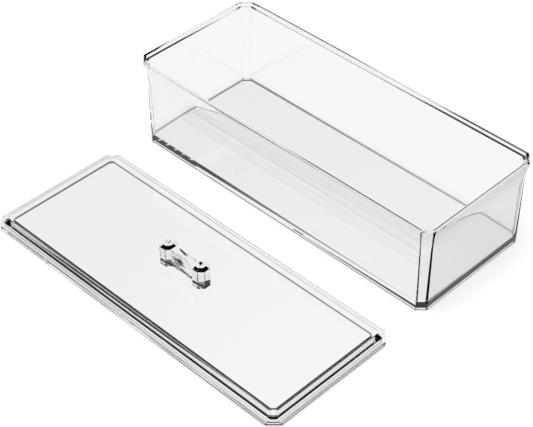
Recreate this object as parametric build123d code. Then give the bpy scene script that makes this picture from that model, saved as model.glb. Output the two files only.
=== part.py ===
from build123d import *
import os

# Clear box: an octagonal tray and, lying beside it on the same surface, its loose lid.
# Lengths are in millimetres. The origin is the centre of the tray's base, X runs along
# the tray and Z points up. An inset is measured inward from the outline it belongs to,
# and a corner leg is the length that a cut corner takes off each of its two sides.

# Tray, outside
tray_length = 230.0
tray_width = 93.1
tray_height = 60.2
rim_corner_leg = 6.2
flare_height = 14.0
flare_inset = 2.0
base_inset = 2.6

# Tray, inside
lip_width = 1.9
ledge_depth = 1.9
mouth_inset = 3.6
cavity_foot_inset = 5.6
floor_thickness = 3.7
cove_radius = 0.5

# Underside of the tray
foot_height = 0.9
foot_width = 1.8
gate_diameter = 8.0
gate_depth = 0.4

# Lid, whose insets are measured from its own outline
lid_margin = 0.45
flange_thickness = 2.77
shoulder_width = 2.86
bevel_width = 2.31
panel_rise = 3.51
panel_foot_corner_leg = 2.5
panel_top_corner_leg = 2.06

# Underside of the lid
rib_clearance = 0.72
rib_width = 0.8
rib_depth = 1.15
recess_inset = 7.41
recess_draft = 0.54
recess_depth = 2.3
recess_corner_leg = 1.8

# Where the lid lies
lid_gap = 23.65

# Handle
post_across_flats = 9.9
post_spacing = 26.2
post_height = 13.8
post_bevel_width = 1.9
post_bevel_height = 1.7
dimple_diameter = 4.2
dimple_depth = 1.6
post_foot_flare = 0.25
post_foot_height = 0.9
web_drop = 1.4
web_thickness = 4.6
scoop_radius = 20.8
scoop_depth = 1.5
bond_line = 0.03

# Extra length that every cutting shape reaches past the face it opens
overrun = 1.0

# Sizes that follow from the ones above
diagonal = 2 ** 0.5
lid_length = tray_length - 2 * lid_margin
lid_width = tray_width - 2 * lid_margin
lid_y = -(tray_width / 2 + lid_gap + lid_width / 2)
floor_height = foot_height + floor_thickness
panel_height = flange_thickness + panel_rise


def offset_leg(leg, inset):
    """Corner leg left when all eight sides of an octagon move inward by the same inset."""
    return leg - inset * (2 - diagonal)


def octagon(length, width, leg, height):
    """Horizontal rectangle with cut corners, at the given height."""
    x = length / 2
    y = width / 2
    corners = [(x, leg - y), (x, y - leg), (x - leg, y), (leg - x, y)]
    corners += [(-x, y - leg), (-x, leg - y), (leg - x, -y), (x - leg, -y)]
    return Pos(0, 0, height) * make_face(Polyline(*corners, close=True))


def rim_octagon(inset, height):
    """The tray's rim outline drawn in evenly by an inset."""
    length = tray_length - 2 * inset
    width = tray_width - 2 * inset
    return octagon(length, width, offset_leg(rim_corner_leg, inset), height)


def lid_octagon(inset, leg, height):
    """The lid's outline drawn in by an inset, with its own corner leg."""
    return octagon(lid_length - 2 * inset, lid_width - 2 * inset, leg, height)


def flared_prism(half_span, turn):
    """Slab between two opposite walls: drafted below, then curving outward to the rim."""
    foot = (half_span - base_inset, 0)
    waist = (half_span - flare_inset, tray_height - flare_height)
    rim = (half_span, tray_height)
    wall = Line(foot, waist)
    flare = TangentArc(waist, rim, tangent=wall % 1)
    top = Line(rim, (0, tray_height))
    bottom = Line((0, 0), foot)
    right_half = Curve() + [bottom, wall, flare, top]
    outline = right_half + mirror(right_half, Plane.YZ)
    slab = extrude(Plane.XZ * make_face(outline.edges()), amount=tray_length, both=True)
    return Rot(0, 0, turn) * slab


def make_tray():
    """Octagonal tray: flared, with a rebate for the lid at its rim and a low foot below."""
    corner_span = (tray_length / 2 + tray_width / 2 - rim_corner_leg) / diagonal
    body = flared_prism(tray_length / 2, 0) & flared_prism(tray_width / 2, 90)
    body = body & flared_prism(corner_span, 45) & flared_prism(corner_span, -45)
    ledge_height = tray_height - ledge_depth
    foot = rim_octagon(cavity_foot_inset, floor_height)
    cavity = loft([foot, rim_octagon(mouth_inset, ledge_height)], ruled=True)
    cavity = fillet(cavity.faces().sort_by(Axis.Z)[0].edges(), cove_radius)
    rebate = extrude(rim_octagon(lip_width, ledge_height), ledge_depth + overrun)
    hollow = extrude(rim_octagon(base_inset + foot_width, -overrun), overrun + foot_height)
    gate = extrude(Circle(gate_diameter / 2), foot_height + gate_depth)
    return body - cavity - rebate - hollow - gate


def make_lid_plate():
    """Flange as wide as the rim, a bevelled raised panel, a recess and a rib below them."""
    flange = extrude(lid_octagon(0, rim_corner_leg, 0), flange_thickness)
    panel_foot = lid_octagon(shoulder_width, panel_foot_corner_leg, flange_thickness)
    panel_top = lid_octagon(shoulder_width + bevel_width, panel_top_corner_leg, panel_height)
    panel = loft([panel_foot, panel_top], ruled=True)
    rib_inset = lip_width + rib_clearance
    rib = extrude(rim_octagon(rib_inset, -rib_depth), rib_depth)
    within = extrude(rim_octagon(rib_inset + rib_width, -rib_depth), rib_depth)
    recess_foot = lid_octagon(recess_inset, recess_corner_leg, 0)
    recess_roof = lid_octagon(recess_inset + recess_draft, recess_corner_leg, recess_depth)
    recess = loft([recess_foot, recess_roof], ruled=True)
    return flange + panel + (rib - within) - recess


def post_section(inset, height):
    """The post's eight-sided section drawn in by an inset, at the given height."""
    apothem = post_across_flats / 2 - inset
    section = RegularPolygon(apothem, 8, major_radius=False, rotation=22.5)
    return Pos(0, 0, height) * section


def make_post():
    """Octagonal post with a bevelled top, a dimple in it and a slightly flared foot."""
    shoulder = post_height - post_bevel_height
    shaft = extrude(post_section(0, 0), shoulder)
    top = post_section(post_bevel_width, post_height)
    crown = loft([post_section(0, shoulder), top], ruled=True)
    wide = post_section(-post_foot_flare, 0)
    foot = loft([wide, post_section(0, post_foot_height)], ruled=True)
    dimple = Cone(0, dimple_diameter / 2, dimple_depth)
    return shaft + crown + foot - Pos(0, 0, post_height - dimple_depth / 2) * dimple


def make_web():
    """Upright web with a shallow finger scoop in each of its two broad faces."""
    height = post_height - web_drop
    web = Pos(0, 0, height / 2) * Box(post_spacing - post_across_flats / 2, web_thickness, height)
    depth_centre = web_thickness / 2 + scoop_radius - scoop_depth
    for side in (-1, 1):
        web = web - Pos(0, side * depth_centre, height / 2) * Sphere(scoop_radius)
    return web


def make_handle():
    """Two posts joined by the scooped web between them."""
    reach = post_spacing / 2
    post = make_post()
    return make_web() + Pos(-reach, 0, 0) * post + Pos(reach, 0, 0) * post


lid_place = Pos(0, lid_y, rib_depth)
handle_place = lid_place * Pos(0, 0, panel_height + bond_line)

os.makedirs("parts", exist_ok=True)
export_step(make_tray(), "parts/tray.step")
export_step(lid_place * make_lid_plate(), "parts/lid_plate.step")
export_step(handle_place * make_handle(), "parts/handle.step")
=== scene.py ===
import math

import bpy
from mathutils import Matrix, Vector


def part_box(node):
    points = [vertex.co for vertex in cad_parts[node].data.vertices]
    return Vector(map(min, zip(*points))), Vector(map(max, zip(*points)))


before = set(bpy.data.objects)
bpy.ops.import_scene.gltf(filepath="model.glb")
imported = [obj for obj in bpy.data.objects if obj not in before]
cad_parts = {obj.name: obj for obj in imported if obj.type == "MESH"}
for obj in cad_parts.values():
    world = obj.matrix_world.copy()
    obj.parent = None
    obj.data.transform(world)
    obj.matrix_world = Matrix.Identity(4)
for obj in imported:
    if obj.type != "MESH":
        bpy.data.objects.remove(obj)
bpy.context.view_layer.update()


# The tray is one injection moulding in clear acrylic, polished in the mould all over.
# Every sharp edge is rounded by a hair. What gives it away as plastic is a very faint
# waviness and a few dull marks where it has been handled.
class Socket:
    """One output of a node, with the arithmetic of shader values."""

    def __init__(self, tree, output):
        self.tree = tree
        self.output = output

    def node(self, kind, settings=None, **inputs):
        made = self.tree.nodes.new("ShaderNode" + kind)
        for name, value in (settings or {}).items():
            setattr(made, name, value)
        for name, value in inputs.items():
            key = int(name[1:]) if name[1:].isdigit() else name.replace("_", " ")
            if isinstance(value, Socket):
                self.tree.links.new(value.output, made.inputs[key])
            else:
                made.inputs[key].default_value = value
        return made

    def value(self, kind, settings=None, result=0, **inputs):
        return Socket(self.tree, self.node(kind, settings, **inputs).outputs[result])

    def math(self, operation, a, b):
        return self.value("Math", {"operation": operation}, i0=a, i1=b)

    def __add__(self, other):
        return self.math("ADD", self, other)

    def __radd__(self, other):
        return self.math("ADD", other, self)

    def __sub__(self, other):
        return self.math("SUBTRACT", self, other)

    def __rsub__(self, other):
        return self.math("SUBTRACT", other, self)

    def __mul__(self, other):
        return self.math("MULTIPLY", self, other)

    def __rmul__(self, other):
        return self.math("MULTIPLY", other, self)

    def __lt__(self, other):
        return self.math("LESS_THAN", self, other)

    def __gt__(self, other):
        return self.math("GREATER_THAN", self, other)

    def __abs__(self):
        return self.math("ABSOLUTE", self, 0.0)

    def larger(self, other):
        return self.math("MAXIMUM", self, other)

    def smaller(self, other):
        return self.math("MINIMUM", self, other)


def clear_acrylic(name, tint, dullness):
    """Clear moulded acrylic with a tint, a little dull in the spots where it is handled."""
    refractive_index = 1.49
    smudge_scale = 38.0
    smudge_detail = 4.0
    smudge_roughness = 0.6
    smudge_start = 0.52
    smudge_full = 0.75
    flow_scale = 16.0
    flow_detail = 1.0
    flow_height = 0.0004
    flow_strength = 0.006
    material = bpy.data.materials.new(name)
    material.use_nodes = True
    tree = material.node_tree
    shader = tree.nodes["Principled BSDF"]
    place = Socket(tree, tree.nodes.new("ShaderNodeTexCoord").outputs["Object"])
    smudge = place.value("TexNoise", Vector=place, Scale=smudge_scale, Detail=smudge_detail,
                         Roughness=smudge_roughness)
    handled = smudge.value("MapRange", Value=smudge, From_Min=smudge_start,
                           From_Max=smudge_full)
    roughness = handled * dullness
    tree.links.new(roughness.output, shader.inputs["Roughness"])
    flow = place.value("TexNoise", Vector=place, Scale=flow_scale, Detail=flow_detail)
    ripple = flow.value("Bump", Strength=flow_strength, Distance=flow_height, Height=flow)
    tree.links.new(ripple.output, shader.inputs["Normal"])
    shader.inputs["Base Color"].default_value = tint
    shader.inputs["IOR"].default_value = refractive_index
    shader.inputs["Transmission Weight"].default_value = 1.0
    return material


def join_facets(piece, within=1e-6):
    """Join the facets of the moulding, so that its edges can be rounded."""
    weld = piece.modifiers.new("weld", "WELD")
    weld.merge_threshold = within


def soften_edges(piece, radius, sharper_than=20, steps=3):
    """Round the edges that turn by more than an angle in degrees."""
    round_over = piece.modifiers.new("round", "BEVEL")
    round_over.width = radius
    round_over.segments = steps
    round_over.angle_limit = math.radians(sharper_than)
    round_over.harden_normals = True
    return round_over


tray_tint = (0.935, 0.94, 0.937, 1)
tray_dullness = 0.02
tray_facet_joint = 5e-5
tray_edge_radius = 0.00012
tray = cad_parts["tray"]
tray_acrylic = clear_acrylic("tray_acrylic", tray_tint, tray_dullness)
tray.material_slots[0].material = tray_acrylic
join_facets(tray, within=tray_facet_joint)
tray_rounding = soften_edges(tray, tray_edge_radius, sharper_than=40)
tray_rounding.use_clamp_overlap = False


# The lid plate is one clear acrylic moulding with a rounder edge on its flange. A bevel
# runs round its raised panel, and a narrow rib and a recess below show through it.
lid_tint = (0.95, 0.955, 0.952, 1)
lid_dullness = 0.02
flange_edge_radius = 0.0003
lid_edge_radius = 0.00008
lid_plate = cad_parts["lid_plate"]
lid_acrylic = clear_acrylic("lid_acrylic", lid_tint, lid_dullness)
lid_plate.material_slots[0].material = lid_acrylic
join_facets(lid_plate)
soften_edges(lid_plate, flange_edge_radius, sharper_than=85, steps=4)
soften_edges(lid_plate, lid_edge_radius, sharper_than=30)


# The handle is a small clear moulding, two eight-sided posts with a dimpled top and a
# scooped web between them. Solvent cement under its foot joins it to the lid so fully
# that light passes from one into the other without a bend.
handle_tint = (0.9, 0.905, 0.902, 1)
handle_dullness = 0.03
handle_edge_radius = 0.0001
post_reach = 0.0131
foot_apothem = 0.0052
web_half_width = 0.0023
web_half_height = 0.0062
scoop_radius = 0.0208
scoop_depth = 0.0015
bond_line = 0.00003
slack = 0.00001
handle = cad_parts["handle"]
handle_acrylic = clear_acrylic("handle_acrylic", handle_tint, handle_dullness)
handle.material_slots[0].material = handle_acrylic
join_facets(handle)
soften_edges(handle, handle_edge_radius)
handle_low, handle_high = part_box("handle")
handle_middle = (handle_low[1] + handle_high[1]) / 2


def joint_place(material):
    """Distance along and across the handle, and the height, of a point of the material."""
    tree = material.node_tree
    place = Socket(tree, tree.nodes.new("ShaderNodeTexCoord").outputs["Object"])
    parts = place.node("SeparateXYZ", Vector=place)
    along, across, height = [Socket(tree, part) for part in parts.outputs]
    return abs(along), abs(across - handle_middle), height


def cement(material, joined):
    """Let light pass straight on where the cement joins the two pieces."""
    tree = material.node_tree
    acrylic = Socket(tree, tree.nodes["Principled BSDF"].outputs[0])
    straight = acrylic.value("BsdfTransparent")
    surface = acrylic.value("MixShader", i0=joined, i1=acrylic, i2=straight)
    tree.links.new(surface.output, tree.nodes["Material Output"].inputs["Surface"])


along, across, height = joint_place(handle_acrylic)
cement(handle_acrylic, height < handle_low[2] + slack)
along, across, height = joint_place(lid_acrylic)
from_post = abs(along - post_reach)
post_span = from_post.larger(across).larger((from_post + across) * math.sqrt(0.5))
under_post = post_span < foot_apothem
scoop_at_foot = math.sqrt(scoop_radius ** 2 - web_half_height ** 2)
waist_half_width = web_half_width + scoop_radius - scoop_depth - scoop_at_foot
widening = along * along * (0.5 / scoop_at_foot)
web_edge = (waist_half_width + widening).smaller(web_half_width)
under_web = (across < web_edge) * (along < post_reach)
on_panel = height > handle_low[2] - bond_line - slack
cement(lid_acrylic, under_post.larger(under_web) * on_panel)


# The studio table is a pale sheet far wider than the box. It looks plain white to the
# camera and through the acrylic, and it still catches the soft shadow. Only in reflections
# is a patch past the tray's right end dark: painted shade on the tray's end wall.
white = (1, 1, 1, 1)
paper_grey = (0.8, 0.8, 0.8, 1)
paper_glow = 0.62
# Painted shade: the dark grey and the place of a patch that shows only in reflections off
# the acrylic.
reflected_shade_grey = (0.02, 0.02, 0.02, 1)
reflected_shade_x = (0.1165, 0.185)
reflected_shade_y = (-0.07, 0.11)
table_half = 3.0
table_drop = 0.0003
table_mesh = bpy.data.meshes.new("table")
table_corners = [(-table_half, -table_half, 0), (table_half, -table_half, 0),
                 (table_half, table_half, 0), (-table_half, table_half, 0)]
table_mesh.from_pydata(table_corners, [], [(0, 1, 2, 3)])
table = bpy.data.objects.new("table", table_mesh)
bpy.context.collection.objects.link(table)
table.location.z = -table_drop

table_sheet = bpy.data.materials.new("table_sheet")
table_sheet.use_nodes = True
sheet_tree = table_sheet.node_tree
sheet_tree.nodes.clear()
ray = sheet_tree.nodes.new("ShaderNodeLightPath")
camera_ray = Socket(sheet_tree, ray.outputs["Is Camera Ray"])
glossy_ray = Socket(sheet_tree, ray.outputs["Is Glossy Ray"])
through_ray = Socket(sheet_tree, ray.outputs["Is Transmission Ray"])
spot = Socket(sheet_tree, sheet_tree.nodes.new("ShaderNodeTexCoord").outputs["Object"])
spot_parts = spot.node("SeparateXYZ", Vector=spot)
spot_x = Socket(sheet_tree, spot_parts.outputs[0])
spot_y = Socket(sheet_tree, spot_parts.outputs[1])
# Painted reflection: the patch is dark only to rays reflected off the acrylic, never to the
# camera or through it.
past_end = (spot_x > reflected_shade_x[0]) * (spot_x < reflected_shade_x[1])
beside_end = (spot_y > reflected_shade_y[0]) * (spot_y < reflected_shade_y[1])
in_reflected_shade = past_end * beside_end * (1.0 - through_ray)
bright = spot.value("Emission", Color=white, Strength=1.0)
reflected_shade = spot.value("Emission", Color=reflected_shade_grey, Strength=1.0)
seen_in_acrylic = spot.value("MixShader", i0=in_reflected_shade, i1=bright, i2=reflected_shade)
paper = spot.value("BsdfDiffuse", Color=paper_grey)
glow = spot.value("Emission", Color=white, Strength=paper_glow)
glowing_paper = spot.value("AddShader", i0=paper, i1=glow)
seen_direct = spot.value("MixShader", i0=camera_ray, i1=paper, i2=glowing_paper)
in_acrylic = glossy_ray.larger(through_ray)
seen = spot.value("MixShader", i0=in_acrylic, i1=seen_direct, i2=seen_in_acrylic)
spot.node("OutputMaterial", i0=seen)
table_mesh.materials.append(table_sheet)


# The studio light is one wide soft lamp overhead and a weaker one at the left. The room
# is white to the camera. In the acrylic it is pale up to the horizon, dark above that and
# dim overhead, with one soft panel high up behind the tray.
def soft_lamp(name, place, size, power):
    """A square lamp that lights the things on the table and isn't seen in the acrylic."""
    lamp_data = bpy.data.lights.new(name, "AREA")
    lamp_data.shape = "SQUARE"
    lamp_data.size = size
    lamp_data.energy = power
    lamp = bpy.data.objects.new(name, lamp_data)
    bpy.context.collection.objects.link(lamp)
    lamp.location = place
    lamp.rotation_euler = (lamp_aim - Vector(place)).to_track_quat("-Z", "Y").to_euler()
    lamp.visible_glossy = False
    lamp.visible_transmission = False


lamp_aim = Vector((0, -0.05, 0))
soft_lamp("overhead", place=(0.1, -0.1, 1.2), size=0.9, power=9.0)
soft_lamp("side", place=(-0.9, -0.7, 0.8), size=0.6, power=3.0)

skirting_light = 0.9
skirting_top = 0.08
skirting_full = 0.04
ceiling_light = 0.22
ceiling_start = 0.8
ceiling_full = 0.88
panel_light = 0.6
panel_start = 0.975
panel_full = 0.995
panel_azimuth = math.radians(127)
panel_elevation = math.radians(50)
panel_heading = (math.cos(panel_azimuth) * math.cos(panel_elevation),
                 math.sin(panel_azimuth) * math.cos(panel_elevation),
                 math.sin(panel_elevation))
room = bpy.data.worlds.new("surround")
bpy.context.scene.world = room
room.use_nodes = True
air_tree = room.node_tree
air_tree.nodes.clear()
air_ray = air_tree.nodes.new("ShaderNodeLightPath")
camera_air = Socket(air_tree, air_ray.outputs["Is Camera Ray"])
heading = Socket(air_tree, air_tree.nodes.new("ShaderNodeTexCoord").outputs["Generated"])
rise = heading.value("SeparateXYZ", result=2, Vector=heading)
skirting = rise.value("MapRange", Value=rise, From_Min=skirting_top, From_Max=skirting_full,
                      To_Max=skirting_light)
ceiling = rise.value("MapRange", Value=rise, From_Min=ceiling_start, From_Max=ceiling_full,
                     To_Max=ceiling_light)
towards_panel = heading.value("VectorMath", {"operation": "DOT_PRODUCT"}, "Value",
                              i0=heading, i1=panel_heading)
panel = rise.value("MapRange", Value=towards_panel, From_Min=panel_start,
                   From_Max=panel_full, To_Max=panel_light)
room_light = rise.value("Background", Strength=skirting + ceiling + panel)
white_light = rise.value("Background", Color=white, Strength=1.0)
air = rise.value("MixShader", i0=camera_air, i1=room_light, i2=white_light)
rise.node("OutputWorld", i0=air)

bpy.context.scene.view_settings.view_transform = "Standard"
bounces_through = 24
bounces_off = 12
bpy.context.scene.cycles.max_bounces = bounces_through
bpy.context.scene.cycles.transmission_bounces = bounces_through
bpy.context.scene.cycles.glossy_bounces = bounces_off


# The camera stands where the photograph was taken from: off the tray's front corner,
# nearly a metre away, looking down by 41 degrees.
camera_place = Vector((0.4913, -0.5444, 0.6119))
camera_turn = math.radians(44.91)
camera_tilt = math.radians(40.85)
camera_roll = math.radians(-0.38)
camera_lens = 106.94
camera_film = 36.0
camera_range = 20.0
back = Vector((math.sin(camera_turn) * math.cos(camera_tilt),
               -math.cos(camera_turn) * math.cos(camera_tilt),
               math.sin(camera_tilt)))
level = Vector((math.cos(camera_turn), math.sin(camera_turn), 0))
upright = back.cross(level)
sideways = math.cos(camera_roll) * level + math.sin(camera_roll) * upright
upward = math.cos(camera_roll) * upright - math.sin(camera_roll) * level
camera_data = bpy.data.cameras.new("camera")
camera_data.lens = camera_lens
camera_data.sensor_width = camera_film
camera_data.sensor_fit = "HORIZONTAL"
camera_data.clip_end = camera_range
camera = bpy.data.objects.new("camera", camera_data)
bpy.context.collection.objects.link(camera)
turn = Matrix((sideways, upward, back)).transposed().to_4x4()
camera.matrix_world = Matrix.Translation(camera_place) @ turn
bpy.context.scene.camera = camera
